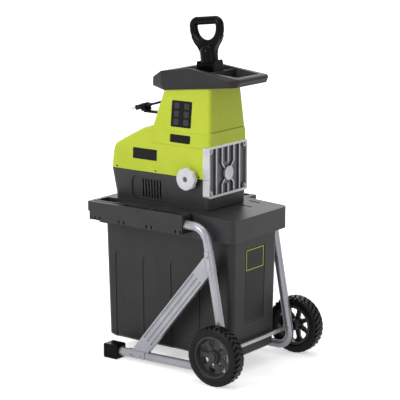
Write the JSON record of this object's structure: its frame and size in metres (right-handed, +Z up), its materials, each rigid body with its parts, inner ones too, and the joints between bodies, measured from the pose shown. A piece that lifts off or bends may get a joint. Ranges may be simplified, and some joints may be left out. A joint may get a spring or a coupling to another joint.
{
  "type": "garden shredder",
  "caption": "Electric garden shredder: feed hopper with plunger over a geared cutting drum, on a wheeled tube frame with a pull-out chip bin.",
  "frame": {"origin": "on the ground under the middle of the machine's box, cord and plug left out", "axes": "+Z up, +X towards the wheels, -Y towards the side with the adjusting knob"},
  "size_m": [0.616, 0.494, 1.1031],
  "materials": {
    "tube_steel": "satin silver paint",
    "bright_steel": "zinc plated",
    "cutter_steel": "hardened steel",
    "cast_aluminium": "as cast",
    "motor_metal": "plain",
    "copper": "varnished winding wire",
    "green_plastic": "satin moulded",
    "dark_plastic": "grained moulded",
    "black_plastic": "satin moulded",
    "black_rubber": "matt",
    "tyre": "matt",
    "start_green": "gloss",
    "stop_red": "gloss",
    "grey_plastic": "matt"
  },
  "bodies": {
    "machine": {"near_side_tube": "tube_steel", "far_side_tube": "tube_steel", "near_brace": "tube_steel", "far_brace": "tube_steel", "brace_screws": "bright_steel", "near_foot_cap": "black_plastic", "far_foot_cap": "black_plastic", "wheel_axle": "bright_steel", "axle_spacers": "black_plastic", "axle_caps": "black_plastic", "cover_plate": "dark_plastic", "deck_cups": "dark_plastic", "plate_bolts": "bright_steel", "motor_base": "dark_plastic", "upper_housing": "green_plastic", "base_bolts": "bright_steel", "end_cover": "cast_aluminium", "cover_screws": "bright_steel", "discharge_chute": "dark_plastic", "feed_throat": "dark_plastic", "drum_bearings": "bright_steel", "gear_case": "cast_aluminium", "gear_cover": "cast_aluminium", "motor_can": "motor_metal", "stator_core": "cutter_steel", "stator_windings": "copper", "motor_bearings": "bright_steel", "run_capacitor": "motor_metal", "spindle_bush": "bright_steel", "hopper": "dark_plastic", "switch_box": "black_plastic", "cable_gland": "black_rubber", "power_lead": "black_rubber", "plug_body": "black_rubber", "plug_pins": "bright_steel", "plug_holder": "black_plastic"},
    "near_wheel": {"near_rim": "dark_plastic", "near_tyre": "tyre"},
    "far_wheel": {"far_rim": "dark_plastic", "far_tyre": "tyre"},
    "bin": {"chip_bin": "dark_plastic", "bin_floor": "dark_plastic", "bin_grip": "dark_plastic"},
    "plunger": {"plunger_handle": "black_plastic", "plunger_pusher": "black_plastic"},
    "knob": {"adjusting_knob": "cast_aluminium", "knob_screw": "bright_steel", "adjusting_spindle": "bright_steel"},
    "pressure_plate": {"pressure_plate": "cutter_steel"},
    "drum": {"cutting_drum": "cutter_steel", "drum_shaft": "bright_steel", "drum_gear": "cutter_steel"},
    "idler": {"idler_gear": "cutter_steel"},
    "rotor": {"motor_rotor": "cutter_steel", "motor_pinion": "cutter_steel", "cooling_fan": "black_plastic"},
    "start": {"start_button": "start_green"},
    "stop": {"stop_button": "stop_red"},
    "reset": {"reset_button": "grey_plastic"},
    "direction": {"direction_knob": "black_plastic"}
  },
  "joints": [
    {"name": "near_wheel_roll", "type": "hinge", "parent": "machine", "child": "near_wheel", "pos_m": [0.215, -0.222, 0.093], "axis": [0, 1, 0], "continuous": true},
    {"name": "far_wheel_roll", "type": "hinge", "parent": "machine", "child": "far_wheel", "pos_m": [0.215, 0.222, 0.093], "axis": [0, 1, 0], "continuous": true},
    {"name": "bin_pull", "type": "slide", "parent": "machine", "child": "bin", "axis": [-1, 0, 0], "range_m": [0, 0.45]},
    {"name": "plunger_lift", "type": "slide", "parent": "machine", "child": "plunger", "axis": [-0.1045, 0, 0.9945], "range_m": [0, 0.25]},
    {"name": "knob_turn", "type": "hinge", "parent": "machine", "child": "knob", "pos_m": [0.031, -0.122, 0.606], "axis": [0, 1, 0], "range_deg": [-961, 361]},
    {"name": "plate_feed", "type": "slide", "parent": "machine", "child": "pressure_plate", "axis": [0, 1, 0], "range_m": [-0.004, 0.0015]},
    {"name": "motor_spin", "type": "hinge", "parent": "machine", "child": "rotor", "pos_m": [-0.15, 0, 0.64446], "axis": [1, 0, 0], "continuous": true},
    {"name": "idler_spin", "type": "hinge", "parent": "machine", "child": "idler", "pos_m": [-0.056, 0.03, 0.66696], "axis": [1, 0, 0], "continuous": true},
    {"name": "drum_spin", "type": "hinge", "parent": "machine", "child": "drum", "pos_m": [0.03, 0, 0.615], "axis": [1, 0, 0], "continuous": true},
    {"name": "start_press", "type": "slide", "parent": "machine", "child": "start", "axis": [1, 0, 0], "range_m": [0, 0.003], "stiffness_N_per_m": 400},
    {"name": "stop_press", "type": "slide", "parent": "machine", "child": "stop", "axis": [1, 0, 0], "range_m": [0, 0.003], "stiffness_N_per_m": 400},
    {"name": "reset_press", "type": "slide", "parent": "machine", "child": "reset", "axis": [1, 0, 0], "range_m": [0, 0.002], "stiffness_N_per_m": 400},
    {"name": "direction_turn", "type": "hinge", "parent": "machine", "child": "direction", "pos_m": [-0.15, 0.038, 0.796], "axis": [1, 0, 0], "range_deg": [-45, 45]}
  ],
  "couplings": [
    {"joint": "knob_turn", "follows": "plate_feed", "rad_per_m": 4188.8},
    {"joint": "idler_spin", "follows": "motor_spin", "ratio": -0.2},
    {"joint": "drum_spin", "follows": "motor_spin", "ratio": 0.04}
  ]
}
